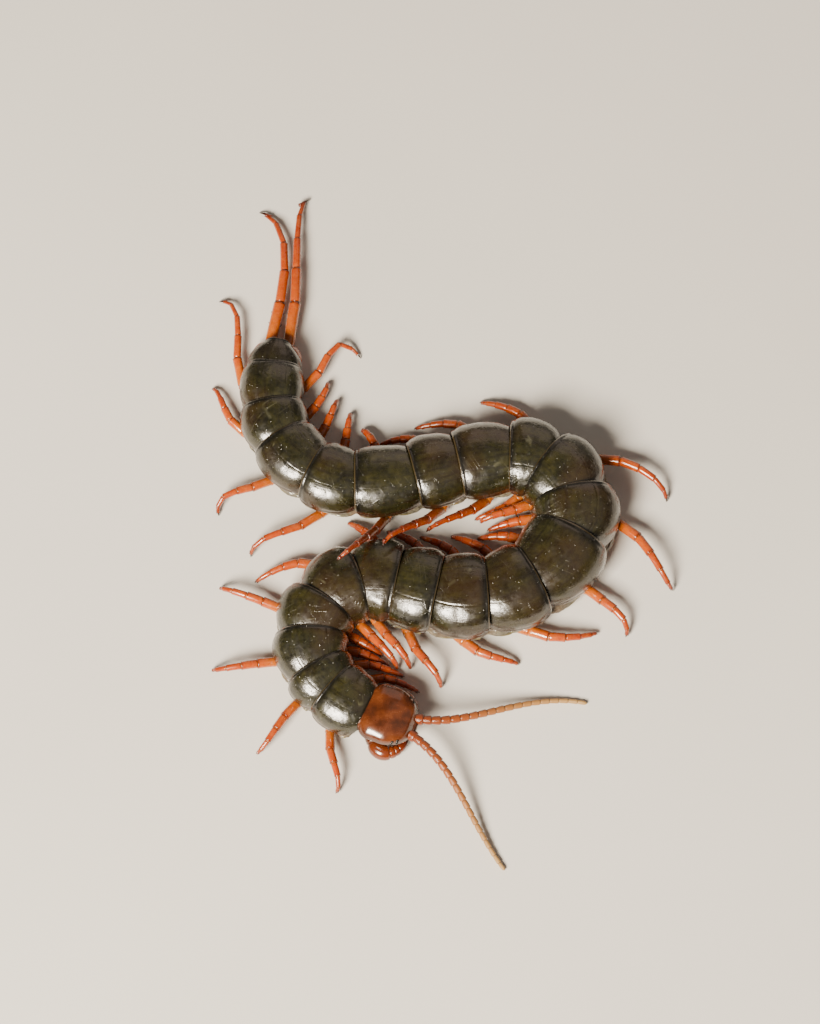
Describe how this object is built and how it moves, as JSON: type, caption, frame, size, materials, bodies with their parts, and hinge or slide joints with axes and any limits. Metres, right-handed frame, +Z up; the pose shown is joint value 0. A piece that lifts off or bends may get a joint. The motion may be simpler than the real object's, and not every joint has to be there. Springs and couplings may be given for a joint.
{
  "type": "giant centipede",
  "caption": "Long flat many-legged animal lying in an S, of overlapping back plates over a softer body, with jointed legs, fangs, feelers and a trailing last pair of legs.",
  "frame": {"origin": "on the floor under the middle of the animal's bounding box", "axes": "+Z up from the floor; +Y towards the tail's legs; +X towards the wide bend of the S"},
  "size_m": [0.052, 0.08, 0.0087],
  "materials": {
    "back_plates": "very glossy dark olive shell plates, darker at their borders",
    "legs": "glossy orange-red cuticle, paler at the joints",
    "head_plates": "glossy brown cuticle of the head, fangs and the roots of the feelers",
    "feelers": "fine-haired tan articles"
  },
  "bodies": {
    "root": {"antenna_left": "feelers", "antenna_right": "feelers", "forcipule_left": "head_plates", "forcipule_plate": "head_plates", "forcipule_right": "head_plates", "head": "head_plates", "leg_left_01": "legs", "leg_left_02": "legs", "leg_left_03": "legs", "leg_left_04": "legs", "leg_left_05": "legs", "leg_left_06": "legs", "leg_left_07": "legs", "leg_left_08": "legs", "leg_left_09": "legs", "leg_left_10": "legs", "leg_left_11": "legs", "leg_left_12": "legs", "leg_left_13": "legs", "leg_left_14": "legs", "leg_left_15": "legs", "leg_left_16": "legs", "leg_left_17": "legs", "leg_left_18": "legs", "leg_left_19": "legs", "leg_left_20": "legs", "leg_left_21": "legs", "leg_right_01": "legs", "leg_right_02": "legs", "leg_right_03": "legs", "leg_right_04": "legs", "leg_right_05": "legs", "leg_right_06": "legs", "leg_right_07": "legs", "leg_right_08": "legs", "leg_right_09": "legs", "leg_right_10": "legs", "leg_right_11": "legs", "leg_right_12": "legs", "leg_right_13": "legs", "leg_right_14": "legs", "leg_right_15": "legs", "leg_right_16": "legs", "leg_right_17": "legs", "leg_right_18": "legs", "leg_right_19": "legs", "leg_right_20": "legs", "leg_right_21": "legs", "trunk_01_02": "back_plates", "trunk_03_04": "back_plates", "trunk_05_06": "back_plates", "trunk_07_08": "back_plates", "trunk_09_10": "back_plates", "trunk_11_12": "back_plates", "trunk_13_14": "back_plates", "trunk_15_16": "back_plates", "trunk_17_18": "back_plates", "trunk_19_20": "back_plates", "trunk_21": "back_plates"}
  },
  "joints": []
}
